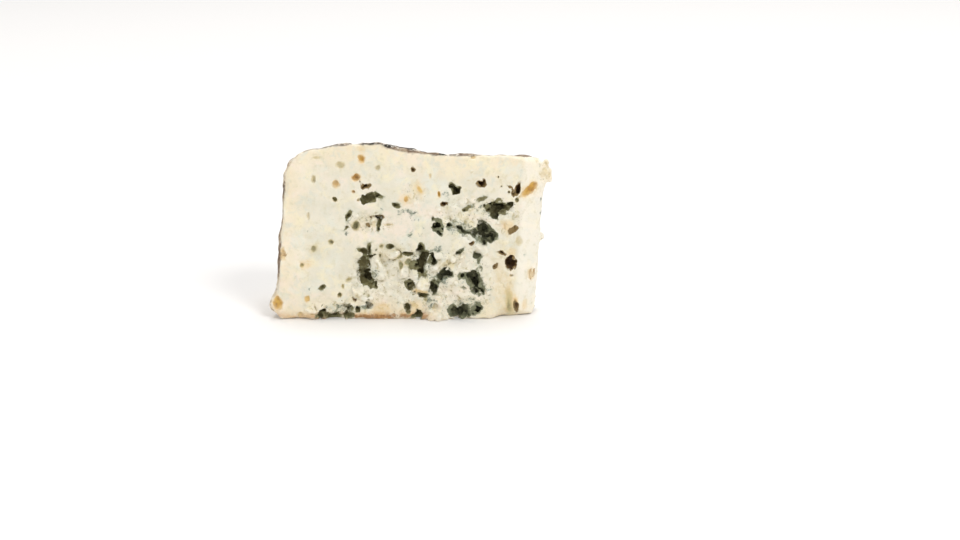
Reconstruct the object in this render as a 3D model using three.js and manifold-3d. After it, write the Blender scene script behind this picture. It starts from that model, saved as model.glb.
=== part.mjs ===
// A wedge of blue cheese, standing on the flat foot of the wheel that it was cut from.
//
// +X runs from the rind to the blunt tip, +Y from the front cut face to the back one, and +Z is up.
// The origin is the middle of the foot. All lengths are in millimetres.
//
// The wedge is a block with six warped sides. Each side is a function of the other two coordinates, and a
// grid of box segments is stretched between them. Its corners are rounded, the paste gets a crumbly
// relief, crags are joined on, and the mould pockets that the knife opened are cut out.
import * as THREE from "three";
import { mergeVertices } from "three/addons/utils/BufferGeometryUtils.js";
import Module from "manifold-3d";

const wasm = await Module();
wasm.setup();

// The wheel and the cut. The top's height at the rind is also what the leans are measured over.
const HEIGHT = 77.2;
const WHEEL_RADIUS = 125;
const RIND_X = -61.4; // the rind at the foot
const RIND_LEAN = 7; // how far the rind leans in by the top
const LEAN_POWER = 1.3; // more than 1 leans it most near the top
const RIND_CREST = 12; // how far behind the front face the rind reaches furthest out
const TIP_X = 57; // the tip's corner at the foot
const TIP_LEAN = 4.6; // how far the tip reaches out further at the top
const FRONT_Y = -22.8; // the front face at the foot
const FRONT_LEAN = Math.tan(THREE.MathUtils.degToRad(5));
const TOP_EDGE_Y = FRONT_Y + HEIGHT * FRONT_LEAN; // and at the top
const RIND_THICKNESS = 48.4; // between the cut faces, at the rind
const TIP_THICKNESS = 19; // and at the tip
const BACK_LEAN = 3; // how far the back face leans in at the top of the rind
const FACET_WIDTH = 9; // the slanting cut that ends the front face at the tip
const FACET_DEPTH = 6;
const TURN_FROM = 30; // past this the front face turns away towards the tip
const TURN_DEPTH = 2.2;

// The top of the wheel along the front edge, as [x, height], and how steeply it falls to the back there.
const TOP = [
  [-62, HEIGHT],
  [-49, 77.9],
  [-36, 79.4],
  [-26, 80.4],
  [-17, 81],
  [-13, 80.9],
  [-9, 79.9],
  [-3, 78.2],
  [6, 76.6],
  [10, 75.9],
  [19, 74.9],
  [47, 75.1],
  [60, 76],
];
const TOP_FALL = [
  [-62, 0.25],
  [-26, 0.25],
  [-15, 0.215],
  [-4, 0.205],
  [4, 0.23],
  [14, 0.26],
  [60, 0.27],
];

// Swellings: the lip that hangs over the tip, and the bulge at the heel by the front face.
const LIP = { z: 65, spread: 5, reach: 4.1, from: 3, to: 8 };
const BULGE = { z: 7.2, spread: 4.4, reach: 3.4, behind: 3, across: 6 };
// Towards the tip the front face curls under at its foot.
const UNDERCUT = { from: 36, to: 46, depth: 4, height: 6 };
// The flat sole that the wedge stands on, between [x, y] corners. Its sides curve in a little between them.
const SOLE_THICKNESS = 0.4;
const SOLE_DIP = 0.3;
const SOLE_CORNERS = [
  [-57.6, -20.6],
  [36.5, -21.6],
  [54.6, -14.2],
  [54.8, -4.2],
  [-50, 21.7],
  [-54.6, 18.6],
];

// Corner radii, where two sides of the block meet.
const RIM_RADIUS = 13;
const HEEL_RADIUS = 5;
const TIP_TOP_RADIUS = 6;
const TIP_FOOT_RADIUS = 3;
const RIND_FRONT_RADIUS = 2.2;
const RIND_BACK_RADIUS = 3.5;
const TIP_BACK_RADIUS = 2.5;
const CUT_TOP_RADIUS = 1;
const CUT_FOOT_RADIUS = 1.8;
const BACK_TOP_RADIUS = 2.5;

// The grid that the block is made from: segments along X, Y and Z.
const SEGMENTS = [28, 8, 18];
const CROWDING = 0.35; // how much closer together the grid lines are by the edges
const ROUNDS = 8; // of settling each point between the sides

// Relief: gentle everywhere, and lumpy where the paste crumbled.
const WAVE = { size: 11, height: 0.35 };
const CRUMBLE = { size: 4.2, height: 1.25 };
// Crumbly stretches of the front face: centre x and z, half width and half height.
const CRUMBLY = [
  [-4, 18, 26, 17],
  [24, 17, 15, 18],
  [30, 47, 22, 10],
  [-34, 4, 16, 6],
  [-18, 45, 12, 5],
];

// The larger mould pockets in the front face: x, z, width, height, tilt in degrees, depth.
const FRONT_POCKETS = [
  [40, 51.5, 12, 6.5, -3, 6],
  [48, 55, 5, 2.4, 35, 3],
  [31.5, 40.3, 8.5, 6.4, -5, 6],
  [36, 37.2, 5, 6, 0, 5],
  [14, 43, 4.8, 5.6, 20, 4.5],
  [23, 40.5, 8, 2.8, -12, 2.5],
  [26.2, 21, 7, 4, 10, 5],
  [30, 16.5, 5.6, 9, 15, 6],
  [33.4, 14.5, 3.6, 5.2, -5, 5],
  [22.6, 3.6, 9.4, 7, 0, 6],
  [29.6, 4.2, 4, 5.2, 0, 5],
  [4.8, 25.5, 5.6, 10, 5, 6],
  [1.8, 24.6, 4.4, 4.6, 0, 4],
  [10.1, 27.6, 2.8, 5.6, 0, 4],
  [17.3, 22.4, 5.2, 5.6, -20, 5],
  [11.8, 15, 3.2, 5.6, 20, 5],
  [-20, 18.4, 7, 6.4, -15, 6.5],
  [-20.4, 24.2, 5.4, 6, 0, 6],
  [-18, 29.6, 6.6, 4, -15, 4.5],
  [-17.8, 56, 6.2, 5.4, 10, 5],
  [-24.6, 65, 4.6, 3.2, 10, 3],
  [-21.5, 73.5, 3, 4, 0, 2.6],
  [46.6, 26, 4.4, 5, 0, 5],
  [47.6, 59, 4.2, 3.6, 0, 4],
  [53.6, 59, 6.4, 3.2, 35, 3],
  [20.8, 60.6, 5.2, 2.6, -32, 3.5],
  [31.3, 29.6, 2.6, 5, 0, 3.5],
  [-28.2, 48.3, 2.6, 4.6, -15, 3],
  [-26.6, 43, 6, 3.2, 0, 3],
  [-14.4, 44.6, 2.4, 5.6, 0, 3.5],
  [3, 1.8, 5.6, 3, 0, 4],
  [-14.4, 3, 6, 4.4, 0, 3],
  [-42, 3.4, 4.2, 3.8, 30, 3.5],
  [-31.2, 3.6, 6.4, 4, 10, 3.5],
  [48.6, 5.4, 1.8, 6.5, 0, 4],
];

// Pockets scattered by a rule over each cut face: how many, where, and the smallest and largest width.
const SMALL_POCKETS = { count: 10, x: [-30, 46], z: [5, 60], from: 2, to: 3.6, seed: 5 };
const BACK_POCKETS = { count: 18, x: [-44, 50], z: [5, 66], from: 3, to: 11, seed: 7 };
// Pockets in the blunt end: distance behind the front face, z, width and height.
const TIP_POCKETS = [
  [14, 24, 4.5, 5],
  [12, 46, 3.4, 4.6],
  [9, 33, 2.8, 2.6],
];
const TIP_POCKET_DEPTH = 2.4;
const POCKET_ROUGHNESS = 0.32;
const POCKET_SUNK = 0.12; // how far a pocket's middle lies inside the face, as a share of its depth
const FOOT_CLEARANCE = 0.36; // the lowest that a pocket's middle may be, as a share of its height
const BUMPS_PER_RADIUS = 1.6;
const FACET_SIZES = [4.5, 9]; // pockets wider than each of these get one step finer facets

// Crags of crumbled paste that stand out of the front face.
const CRAGS = { count: 18, from: 1.5, to: 3.4, sunk: 0.35, roughness: 0.3, seed: 11 };

const { clamp, lerp, smoothstep, degToRad } = THREE.MathUtils;

// The value at x on the line through [x, value] points.
function along(points, x) {
  const found = points.findIndex(([at]) => at > x);
  const next = found < 0 ? points.length - 1 : Math.max(1, found);
  const [x0, value0] = points[next - 1];
  const [x1, value1] = points[next];
  return lerp(value0, value1, clamp((x - x0) / (x1 - x0), 0, 1));
}

// A bell curve: 1 at 0, and next to nothing past 2.
const bell = (t) => Math.exp(-t * t);

// Repeatable value noise from -1 to 1, with its lattice one unit apart.
function latticeValue(i, j, k) {
  let h = Math.imul(i, 374761393) ^ Math.imul(j, 668265263) ^ Math.imul(k, 1274126177);
  h = Math.imul(h ^ (h >>> 13), 1103515245);
  h = Math.imul(h ^ (h >>> 16), 2246822519);
  return ((h ^ (h >>> 15)) >>> 0) / 2147483647.5 - 1;
}

function noise(x, y, z) {
  const [i, j, k] = [Math.floor(x), Math.floor(y), Math.floor(z)];
  const ease = (t) => t * t * (3 - 2 * t);
  const [u, v, w] = [ease(x - i), ease(y - j), ease(z - k)];
  const row = (dj, dk) => lerp(latticeValue(i, j + dj, k + dk), latticeValue(i + 1, j + dj, k + dk), u);
  return lerp(lerp(row(0, 0), row(1, 0), v), lerp(row(0, 1), row(1, 1), v), w);
}

// A repeatable draw of numbers from 0 to 1.
function drawer(seed) {
  let count = 0;
  return () => latticeValue(seed, (count += 1), 3 * seed) / 2 + 0.5;
}

// The six sides of the block. cutY is the front cut before its foot is undercut.
const cutY = (x, z) => FRONT_Y + z * FRONT_LEAN + TURN_DEPTH * smoothstep(x, TURN_FROM, TIP_X);

function frontY(x, z) {
  const undercut = UNDERCUT.depth * smoothstep(x, UNDERCUT.from, UNDERCUT.to);
  return cutY(x, z) + undercut * (1 - smoothstep(z, 0, UNDERCUT.height));
}

function backY(x, z) {
  const toTip = clamp((x - RIND_X) / (TIP_X - RIND_X), 0, 1);
  const lean = BACK_LEAN * (1 - toTip) * heightShare(z);
  return FRONT_Y + lerp(RIND_THICKNESS, TIP_THICKNESS, toTip) - lean;
}

function rindX(y, z) {
  const fromCrest = y - FRONT_Y - RIND_CREST;
  const crest = WHEEL_RADIUS - Math.sqrt(WHEEL_RADIUS ** 2 - RIND_CREST ** 2);
  const arc = WHEEL_RADIUS - Math.sqrt(WHEEL_RADIUS ** 2 - fromCrest ** 2) - crest;
  const behind = y - frontY(RIND_X, z);
  const bulge = bell((z - BULGE.z) / BULGE.spread) * bell((behind - BULGE.behind) / BULGE.across);
  return RIND_X + RIND_LEAN * heightShare(z) ** LEAN_POWER + arc - BULGE.reach * bulge;
}

function tipX(y, z) {
  const corner = TIP_X + TIP_LEAN * heightShare(z);
  const behind = y - cutY(TIP_X, z);
  const facet = Math.max(0, FACET_DEPTH - behind) * (FACET_WIDTH / FACET_DEPTH);
  const lip = bell((z - LIP.z) / LIP.spread) * smoothstep(behind, LIP.from, LIP.to);
  return corner - facet + LIP.reach * lip;
}

const topZ = (x, y) => along(TOP, x) - along(TOP_FALL, x) * Math.max(0, y - TOP_EDGE_Y);

// A share of the height, for the leans.
const heightShare = (z) => clamp(z / HEIGHT, 0, 1.1);

// Moves a point that is within radius of two sides onto the arc that joins them. first and second are its
// distances from the two.
function rounded(first, second, radius) {
  if (first >= radius || second >= radius) return [first, second];
  const [a, b] = [radius - first, radius - second];
  const shrink = radius / Math.max(radius, Math.hypot(a, b));
  return [radius - a * shrink, radius - b * shrink];
}

// Rounds the block's edges at one point, given as shares of the way along, across and up.
function roundedShares(shares, size) {
  const near = shares.map((share, axis) => share * size[axis]);
  const far = shares.map((share, axis) => (1 - share) * size[axis]);
  const [X, Y, Z] = [0, 1, 2];
  const edges = [
    [near, X, far, Z, RIM_RADIUS],
    [near, X, near, Z, HEEL_RADIUS],
    [far, X, far, Z, TIP_TOP_RADIUS],
    [far, X, near, Z, TIP_FOOT_RADIUS],
    [near, X, near, Y, RIND_FRONT_RADIUS],
    [near, X, far, Y, RIND_BACK_RADIUS],
    [far, X, far, Y, TIP_BACK_RADIUS],
    [near, Y, far, Z, CUT_TOP_RADIUS],
    [near, Y, near, Z, CUT_FOOT_RADIUS],
    [far, Y, far, Z, BACK_TOP_RADIUS],
    [far, Y, near, Z, CUT_FOOT_RADIUS],
  ];
  for (const [listA, axisA, listB, axisB, radius] of edges) {
    const [a, b] = rounded(listA[axisA], listB[axisB], radius);
    listA[axisA] = a;
    listB[axisB] = b;
    (listA === near ? far : near)[axisA] = size[axisA] - a;
    (listB === near ? far : near)[axisB] = size[axisB] - b;
  }
  return near.map((distance, axis) => distance / size[axis]);
}

// The place in the wedge of a point given as shares of the way along, across and up.
function placed(shares) {
  let x = lerp(RIND_X, TIP_X, shares[0]);
  let y = lerp(FRONT_Y, -FRONT_Y, shares[1]);
  let z = HEIGHT * shares[2];
  for (let round = 0; round < ROUNDS; round += 1) {
    const size = [tipX(y, z) - rindX(y, z), backY(x, z) - frontY(x, z), topZ(x, y)];
    const even = roundedShares(shares, size);
    x = lerp(rindX(y, z), tipX(y, z), even[0]);
    y = lerp(frontY(x, z), backY(x, z), even[1]);
    z = topZ(x, y) * even[2];
  }
  return new THREE.Vector3(x, y, z);
}

// How crumbly the front or back face is at a point, from 0 to 1.
function crumbliness(point) {
  const onFront = 1 - smoothstep(point.y - frontY(point.x, point.z), 1, 5);
  const onBack = 1 - smoothstep(backY(point.x, point.z) - point.y, 1, 5);
  const patches = CRUMBLY.map(([x, z, halfWidth, halfHeight]) => {
    const reach = Math.hypot((point.x - x) / halfWidth, (point.z - z) / halfHeight);
    return 1 - smoothstep(reach, 0.75, 1.15);
  });
  const awayFromRind = smoothstep(point.x - rindX(point.y, point.z), 12, 30);
  const backPatches = smoothstep(noise(point.x / 17, 5, point.z / 17), -0.25, 0.35) * awayFromRind;
  return Math.max(onFront * Math.max(...patches), onBack * backPatches);
}

// The shape with one vertex at each corner, so that it is a closed surface.
function welded(geometry) {
  geometry.deleteAttribute("normal");
  geometry.deleteAttribute("uv");
  return mergeVertices(geometry);
}

// Crowds grid lines together by both ends.
const crowded = (t) => t - (CROWDING * Math.sin(2 * Math.PI * t)) / (2 * Math.PI);

// The block as a grid of triangles, with its relief. The foot stays flat.
function wedgeGeometry() {
  const geometry = welded(new THREE.BoxGeometry(1, 1, 1, ...SEGMENTS));
  const position = geometry.attributes.position;
  const point = new THREE.Vector3();
  for (let i = 0; i < position.count; i += 1) {
    point.fromBufferAttribute(position, i);
    const shares = [point.x, point.y, point.z].map((t) => crowded(t + 0.5));
    position.setXYZ(i, ...placed(shares));
  }
  geometry.computeVertexNormals();
  const normal = geometry.attributes.normal;
  const outward = new THREE.Vector3();
  for (let i = 0; i < position.count; i += 1) {
    point.fromBufferAttribute(position, i);
    outward.fromBufferAttribute(normal, i);
    const wave = WAVE.height * noise(point.x / WAVE.size, point.y / WAVE.size, point.z / WAVE.size);
    const [u, v, w] = [point.x / CRUMBLE.size, point.y / CRUMBLE.size, point.z / CRUMBLE.size];
    const crumb = CRUMBLE.height * crumbliness(point) * noise(u, v, w);
    const lifted = smoothstep(point.z, 0.2, 3);
    point.addScaledVector(outward, (wave + crumb) * lifted);
    position.setXYZ(i, point.x, point.y, Math.max(0, point.z));
  }
  geometry.deleteAttribute("normal");
  return geometry;
}

// A rough round shape about the origin, stretched to three radii.
function blobGeometry(radii, detail, roughness, seed) {
  const geometry = welded(new THREE.IcosahedronGeometry(1, detail));
  const position = geometry.attributes.position;
  const point = new THREE.Vector3();
  for (let i = 0; i < position.count; i += 1) {
    point.fromBufferAttribute(position, i);
    const [u, v, w] = point.clone().multiplyScalar(BUMPS_PER_RADIUS);
    const bump = noise(u + seed, v + 3 * seed, w);
    point.multiplyScalar(1 + roughness * bump);
    position.setXYZ(i, point.x * radii[0], point.y * radii[1], point.z * radii[2]);
  }
  return geometry;
}

function solidOf(geometry) {
  const vertProperties = new Float32Array(geometry.attributes.position.array);
  const triVerts = new Uint32Array(geometry.index.array);
  return new wasm.Manifold(new wasm.Mesh({ numProp: 3, vertProperties, triVerts }));
}

// A pocket in a cut face that looks along Y. inward is 1 on the front face and -1 on the back one.
function facePocket([x, z, width, height, tilt, depth], surfaceY, inward, seed) {
  const detail = FACET_SIZES.filter((size) => Math.max(width, height) > size).length;
  const geometry = blobGeometry([width / 2, depth, height / 2], detail, POCKET_ROUGHNESS, seed);
  geometry.rotateY(degToRad(-tilt));
  geometry.translate(x, surfaceY + inward * POCKET_SUNK * depth, Math.max(z, FOOT_CLEARANCE * height));
  return solidOf(geometry);
}

function frontPockets() {
  return FRONT_POCKETS.map((pocket, i) => {
    const [x, z] = pocket;
    const onFacet = Math.max(0, x - (TIP_X - FACET_WIDTH) - TIP_LEAN * heightShare(z));
    const surfaceY = Math.max(frontY(x, z), cutY(x, z) + onFacet * (FACET_DEPTH / FACET_WIDTH));
    return facePocket(pocket, surfaceY, 1, i + 1);
  });
}

// Pockets at drawn places, most of them small. inward is as above.
function scatteredPockets({ count, x: [fromX, toX], z: [fromZ, toZ], from, to, seed }, sideY, inward) {
  const draw = drawer(seed);
  return Array.from({ length: count }, (_, i) => {
    const x = lerp(fromX, toX, draw());
    const z = lerp(fromZ, toZ, draw());
    const width = lerp(from, to, draw() ** 2);
    const height = width * lerp(0.5, 1.1, draw());
    const tilt = lerp(-60, 60, draw());
    const depth = lerp(0.35, 0.7, draw()) * Math.min(width, height) + 1.2;
    return facePocket([x, z, width, height, tilt, depth], sideY(x, z), inward, 60 * seed + i);
  });
}

function tipPockets() {
  return TIP_POCKETS.map(([behind, z, width, height], i) => {
    const y = frontY(TIP_X, z) + behind;
    const geometry = blobGeometry([TIP_POCKET_DEPTH, width / 2, height / 2], 1, POCKET_ROUGHNESS, 120 + i);
    geometry.translate(tipX(y, z), y, z);
    return solidOf(geometry);
  });
}

function crags() {
  const draw = drawer(CRAGS.seed);
  return Array.from({ length: CRAGS.count }, (_, i) => {
    const [patchX, patchZ, halfWidth, halfHeight] = CRUMBLY[i % CRUMBLY.length];
    const x = patchX + 0.9 * halfWidth * lerp(-1, 1, draw());
    const z = Math.max(3, patchZ + 0.9 * halfHeight * lerp(-1, 1, draw()));
    const radius = lerp(CRAGS.from, CRAGS.to, draw());
    const radii = [radius * lerp(0.8, 1.3, draw()), radius, radius * lerp(0.7, 1.1, draw())];
    const geometry = blobGeometry(radii, 1, CRAGS.roughness, 200 + i);
    geometry.translate(x, frontY(x, z) + CRAGS.sunk * radius, z);
    return solidOf(geometry);
  });
}

// The sole as a plate. Each side is a curve whose middle lies inward of the line between its corners.
function soleGeometry() {
  const corners = SOLE_CORNERS.map(([x, y]) => new THREE.Vector2(x, y));
  const shape = new THREE.Shape();
  shape.moveTo(corners[0].x, corners[0].y);
  corners.forEach((corner, i) => {
    const next = corners[(i + 1) % corners.length];
    const inward = next.clone().sub(corner).normalize().rotateAround(new THREE.Vector2(), Math.PI / 2);
    const control = corner.clone().lerp(next, 0.5).addScaledVector(inward, 2 * SOLE_DIP);
    shape.quadraticCurveTo(control.x, control.y, next.x, next.y);
  });
  const settings = { depth: SOLE_THICKNESS, bevelEnabled: false, curveSegments: 4 };
  return welded(new THREE.ExtrudeGeometry(shape, settings));
}

function cheeseGeometry() {
  let cheese = solidOf(wedgeGeometry()).add(solidOf(soleGeometry()));
  for (const crag of crags()) {
    cheese = cheese.add(crag);
  }
  const pockets = [
    ...frontPockets(),
    ...scatteredPockets(SMALL_POCKETS, frontY, 1),
    ...scatteredPockets(BACK_POCKETS, backY, -1),
    ...tipPockets(),
  ];
  for (const pocket of pockets) {
    cheese = cheese.subtract(pocket);
  }
  // A crumb that the pockets cut loose is dropped.
  const [largest] = cheese.decompose().sort((a, b) => b.volume() - a.volume());
  const { vertProperties, triVerts } = largest.getMesh();
  const geometry = new THREE.BufferGeometry();
  geometry.setAttribute("position", new THREE.BufferAttribute(vertProperties, 3));
  geometry.setIndex(new THREE.BufferAttribute(triVerts, 1));
  geometry.computeVertexNormals();
  return geometry;
}

const paste = new THREE.MeshStandardMaterial({ color: 0xefe8d2, roughness: 0.6, metalness: 0 });
const cheese = new THREE.Mesh(cheeseGeometry(), paste);
cheese.name = "cheese";

const part = new THREE.Group();
part.add(cheese);

export default part;
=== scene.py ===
"""A wedge of blue cheese: crumbly ivory paste, open mould pockets and a thin mottled rind.

Lengths are in millimetres until the mesh is made. +X runs from the rind to the blunt tip, +Y from the front
cut face to the back one, and +Z is up. The paste is a field on a grid, positive inside. The block's sides
are rounded together, relief is added, pockets are taken out, crumbs are joined to it, and its zero surface
becomes the mesh.
"""

import math

import bpy
import numpy as np
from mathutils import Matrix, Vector


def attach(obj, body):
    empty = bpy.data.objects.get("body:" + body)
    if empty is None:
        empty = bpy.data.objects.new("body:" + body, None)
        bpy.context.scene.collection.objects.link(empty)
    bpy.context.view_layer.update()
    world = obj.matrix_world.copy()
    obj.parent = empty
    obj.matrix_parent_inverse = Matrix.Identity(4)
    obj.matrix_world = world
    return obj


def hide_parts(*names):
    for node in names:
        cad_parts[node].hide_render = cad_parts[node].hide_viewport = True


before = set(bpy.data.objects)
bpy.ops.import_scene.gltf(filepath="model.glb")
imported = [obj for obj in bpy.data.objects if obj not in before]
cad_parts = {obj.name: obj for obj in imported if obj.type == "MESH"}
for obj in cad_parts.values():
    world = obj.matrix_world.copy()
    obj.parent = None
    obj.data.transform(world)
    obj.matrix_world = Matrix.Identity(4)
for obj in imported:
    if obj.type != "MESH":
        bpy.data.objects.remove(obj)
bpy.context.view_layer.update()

METRES = 0.001  # in a millimetre
CELL = 0.5  # of the grid that the paste is made on
GRID_LOW, GRID_HIGH = (-68, -29, -1.25), (68, 28, 86)
FAR = 99  # beyond the block
MOST_TRIANGLES = 190000

# ---------------- the block's shape
# It is the CAD solid's, but here the tip's top edge and the facet's upright edges are rounder, and the
# facet's top and foot are a little sharper.
HEIGHT = 77.2
HIGHEST_SHARE = 1.1  # of the height, above which the sides lean no further
WHEEL_RADIUS = 125
RIND_X, RIND_LEAN, LEAN_POWER, RIND_CREST = -61.4, 7, 1.3, 12
TIP_X, TIP_LEAN = 57, 4.6
FRONT_Y, FRONT_LEAN = -22.8, math.tan(math.radians(5))
TOP_EDGE_Y = FRONT_Y + HEIGHT * FRONT_LEAN
RIND_THICKNESS, TIP_THICKNESS, BACK_LEAN = 48.4, 19, 3
FACET_WIDTH, FACET_DEPTH = 9, 6
TURN_FROM, TURN_DEPTH = 30, 2.2
TOP = (
    (-62, HEIGHT), (-49, 77.9), (-36, 79.4), (-26, 80.4), (-17, 81), (-13, 80.9), (-9, 79.9), (-3, 78.2),
    (6, 76.6), (10, 75.9), (19, 74.9), (47, 75.1), (60, 76),
)
TOP_FALL = ((-62, 0.25), (-26, 0.25), (-15, 0.215), (-4, 0.205), (4, 0.23), (14, 0.26), (60, 0.27))
LIP = dict(z=65, spread=5, reach=4.1, behind=(3, 8))
BULGE = dict(z=7.2, spread=4.4, reach=3.4, behind=3, across=6)
UNDERCUT = dict(x=(36, 46), z=(0, 6), depth=4)
SIDES = ("rind", "tip", "facet", "front", "back", "foot", "top")
SKIN = ("rind", "foot", "top")
EDGE_RADII = dict(
    rind_top=13, rind_foot=5, tip_top=9.5, facet_top=5, tip_foot=3, facet_foot=1.5, rind_front=2.2,
    rind_back=3.5, tip_back=2.5, facet_front=2, facet_tip=2, front_top=1, front_foot=1.8, back_top=2.5,
    back_foot=1.8,
)

# ---------------- what the knife opened in each face
# Crumbly stretches of the front face: centre x and z, half width and half height.
CRUMBLY = (
    (-4, 18, 26, 17), (24, 17, 15, 18), (30, 47, 22, 10), (-34, 4, 16, 6), (-18, 45, 12, 5), (62, 67, 4, 7),
    (2.5, 58, 6, 5),
)

# Pockets lined with green-black mould: x, z, width, height, depth, and the tilt in degrees if there is one.
GREEN = (
    (40, 51.9, 10, 6.6, 6.5), (45, 53, 5, 2, 3.5, 14), (39.3, 48, 3.6, 4, 5), (33.2, 41, 8.2, 5.4, 6),
    (35.2, 37.4, 6.6, 4.6, 5.5, -10), (29, 39.5, 5.6, 2.6, 3.5, -8), (34.3, 42.6, 4.8, 2.8, 4),
    (33.7, 34.4, 2, 2.2, 3), (13.2, 43.3, 5.6, 5.8, 4.5), (17.9, 43.6, 1.9, 1.9, 2),
    (23.4, 41.6, 3.2, 1.6, 1.6, -30), (26, 40.4, 2.6, 2, 1.8, 20), (27.7, 21, 9.2, 4.6, 5.5, 8),
    (30, 16.4, 5.2, 7.4, 6, 10), (29.3, 18.8, 6, 5.4, 6), (32.9, 14.2, 3.8, 5.2, 5),
    (17.6, 21.8, 5.4, 4.2, 4.5, -10), (14.6, 19.6, 4.6, 4, 3, 20), (11.7, 14.8, 4.6, 6.6, 5, 8),
    (10, 27.4, 2.9, 6.4, 4), (22.7, 3.6, 9, 7, 6.5), (19.4, 5.6, 3.6, 4.8, 4), (30.2, 4.3, 5.2, 6.4, 4.5),
    (13.5, 2, 3.4, 3.4, 3, 20), (24, 13.6, 2, 2, 3), (31.3, 29.4, 4, 2.4, 3, 20), (31.1, 27.4, 1.8, 3, 2.6),
    (5, 29, 5.2, 7, 5.5), (5.4, 33, 1.5, 3.6, 3, 8), (3.8, 25.3, 7.4, 5, 6), (4.2, 22, 5, 3.8, 5),
    (-0.3, 16.1, 3.8, 3.6, 4), (6.5, 11.4, 4.2, 1.8, 2.6, -20), (2.4, 1.6, 5.6, 3, 4),
    (-1.9, 5.4, 2.1, 3, 3), (-17.6, 29.2, 6, 3.6, 2.6), (-20.1, 24.8, 5.2, 5.4, 3.4),
    (-19.6, 19.5, 7.8, 7, 6.5), (-17.6, 15.4, 3.4, 3.6, 5), (-21.3, 31.7, 4.8, 1.5, 2.6, -15),
    (-18.9, 32.6, 1.5, 3.4, 2.6), (-18, 55.6, 6.2, 5.4, 2.6, 8), (-14.6, 56.6, 3.4, 1.5, 2, -20),
    (-27.8, 48.5, 2.3, 4.6, 3, -15), (-28.6, 42.6, 2.5, 2.4, 3), (-6, 53, 3, 1.6, 2, -8),
    (21.2, 59.6, 4.2, 3.2, 3.6, -20), (19, 61.3, 3.2, 1.8, 3, -35), (32.4, 56, 3.4, 1.2, 2.6, 15),
    (25.1, 50.7, 2.2, 1.4, 2, 20), (26.9, 52.1, 1.5, 1.4, 2), (-40.9, 4.2, 3, 3, 3, 20),
    (-42, 1.8, 5.4, 2.8, 3), (-28.7, 4.8, 3.8, 3.4, 4), (-35, 1.4, 7, 2.8, 2.6), (-29, 1.8, 4.6, 2.8, 3),
    (-24.2, 4.4, 2, 2.2, 2.4), (-19.2, 6.2, 3, 2, 2.6), (-40.2, 15, 2.2, 1.2, 1.4, 15),
    (-1, 30.1, 3, 1.3, 2, -10), (-9.2, 33.6, 2.8, 1.7, 2), (23.1, 32, 3.2, 1.3, 1.6, 40),
    (38.4, 38.6, 2.4, 3.4, 1.6), (-13.9, 44.2, 1.6, 5.4, 3),
)
# Brown and brown-black ones.
BROWN = (
    (46.4, 25.5, 5.2, 5, 5), (41.6, 30.8, 3.2, 1.3, 2, -10), (39, 24.8, 1.6, 2.4, 2, -30),
    (46.8, 41.4, 4.4, 2.2, 5, 50), (45.4, 60.7, 2, 1.3, 2.4, -20), (47.3, 58.2, 3.4, 3.2, 3.4, -30),
    (49, 59.8, 1.6, 5, 3.4, -6), (48.2, 5.8, 1.7, 4.8, 1.2, 4), (-20.1, 61.9, 3.6, 2.9, 3, 10),
    (14.7, 53.5, 2.4, 3, 3, 20), (-14.9, 47.3, 4.8, 1.5, 2.6), (-19.3, 43.7, 2.2, 2.6, 3),
    (1.8, 68.9, 1.4, 1.4, 1.4), (31.5, 62.4, 3.6, 1.8, 2.8), (33.1, 63.4, 1, 2.4, 2),
    (28.2, 35, 2.4, 1.7, 2, 30), (-25.9, 9.9, 2.8, 2.6, 3),
)
# Amber hollows, stains and some painted shade. Before the tilt stands how strong the colour is, from 0 to
# 1.
FLUSH = 0.05  # the depth of a stain that leaves no hollow
AMBER = (
    (53.9, 59, 8, 4.4, 1.4, 1, 40), (53.9, 59, 10, 6.4, FLUSH, 0.5, 40), (62, 66, 7, 12, FLUSH, 0.3),
    (50.4, 56.6, 3, 1.4, 1, 0.5, 40), (-21.3, 73.2, 3.8, 4, 1.6, 0.95), (-21.1, 78, 3.6, 5, 0.3, 0.4),
    (-24, 65.1, 4.4, 3.4, 2, 1, 10), (-33.2, 62.1, 4.4, 3.2, 0.9, 0.7), (-25.3, 59.1, 2, 2, 0.6, 0.6),
    (-1.6, 55.6, 2.4, 3.2, 0.8, 0.8), (-1.2, 55.8, 8, 6, FLUSH, 0.35), (4.4, 60, 2, 4.4, 0.7, 0.75, 30),
    (3.8, 60, 6, 9, FLUSH, 0.35, 20), (13.3, 57.8, 1.3, 3, 0.8, 0.9, 10), (55, 20, 4, 6, 0.8, 0.55),
    (-57.9, 29.9, 3.6, 6.4, 0.8, 0.6), (-61, 7.4, 4.8, 7.4, 1.2, 0.9, 10), (-47.1, 9.3, 2.8, 3.4, 0.6, 0.7),
    (-47.4, 25.7, 6.4, 5, FLUSH, 0.45), (-16.5, 44.2, 3, 4.4, 0.8, 0.35), (44, 43.9, 6, 6, 0.5, 0.35),
    (28.5, 74.4, 3, 1.6, 0.5, 0.55), (-13.4, 4, 10, 8, 0.8, 0.5), (2, 5, 9, 7, 0.8, 0.45),
    (4.5, 13, 8, 3, FLUSH, 0.6, -8), (46.2, 30, 5, 6, FLUSH, 0.45), (52.6, 5.6, 3, 6, 0.5, 0.4),
    (46, 5, 3, 6, FLUSH, 0.35, -20), (44.6, 42.6, 6, 8, 0.2, 0.5), (9.2, 65.9, 1.4, 2.6, 0.6, 0.4),
    # Painted shade: the three flush rows at x 43 to 44.9 below darken the front face beside the facet.
    (43, 13, 11, 30, FLUSH, 0.3, 6), (44.9, 10, 4, 16, FLUSH, 0.55, 8), (44.4, 6, 3, 8, FLUSH, 0.6, 8),
    (48.2, 6.6, 2.8, 7, FLUSH, 0.8, 4),
)
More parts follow.
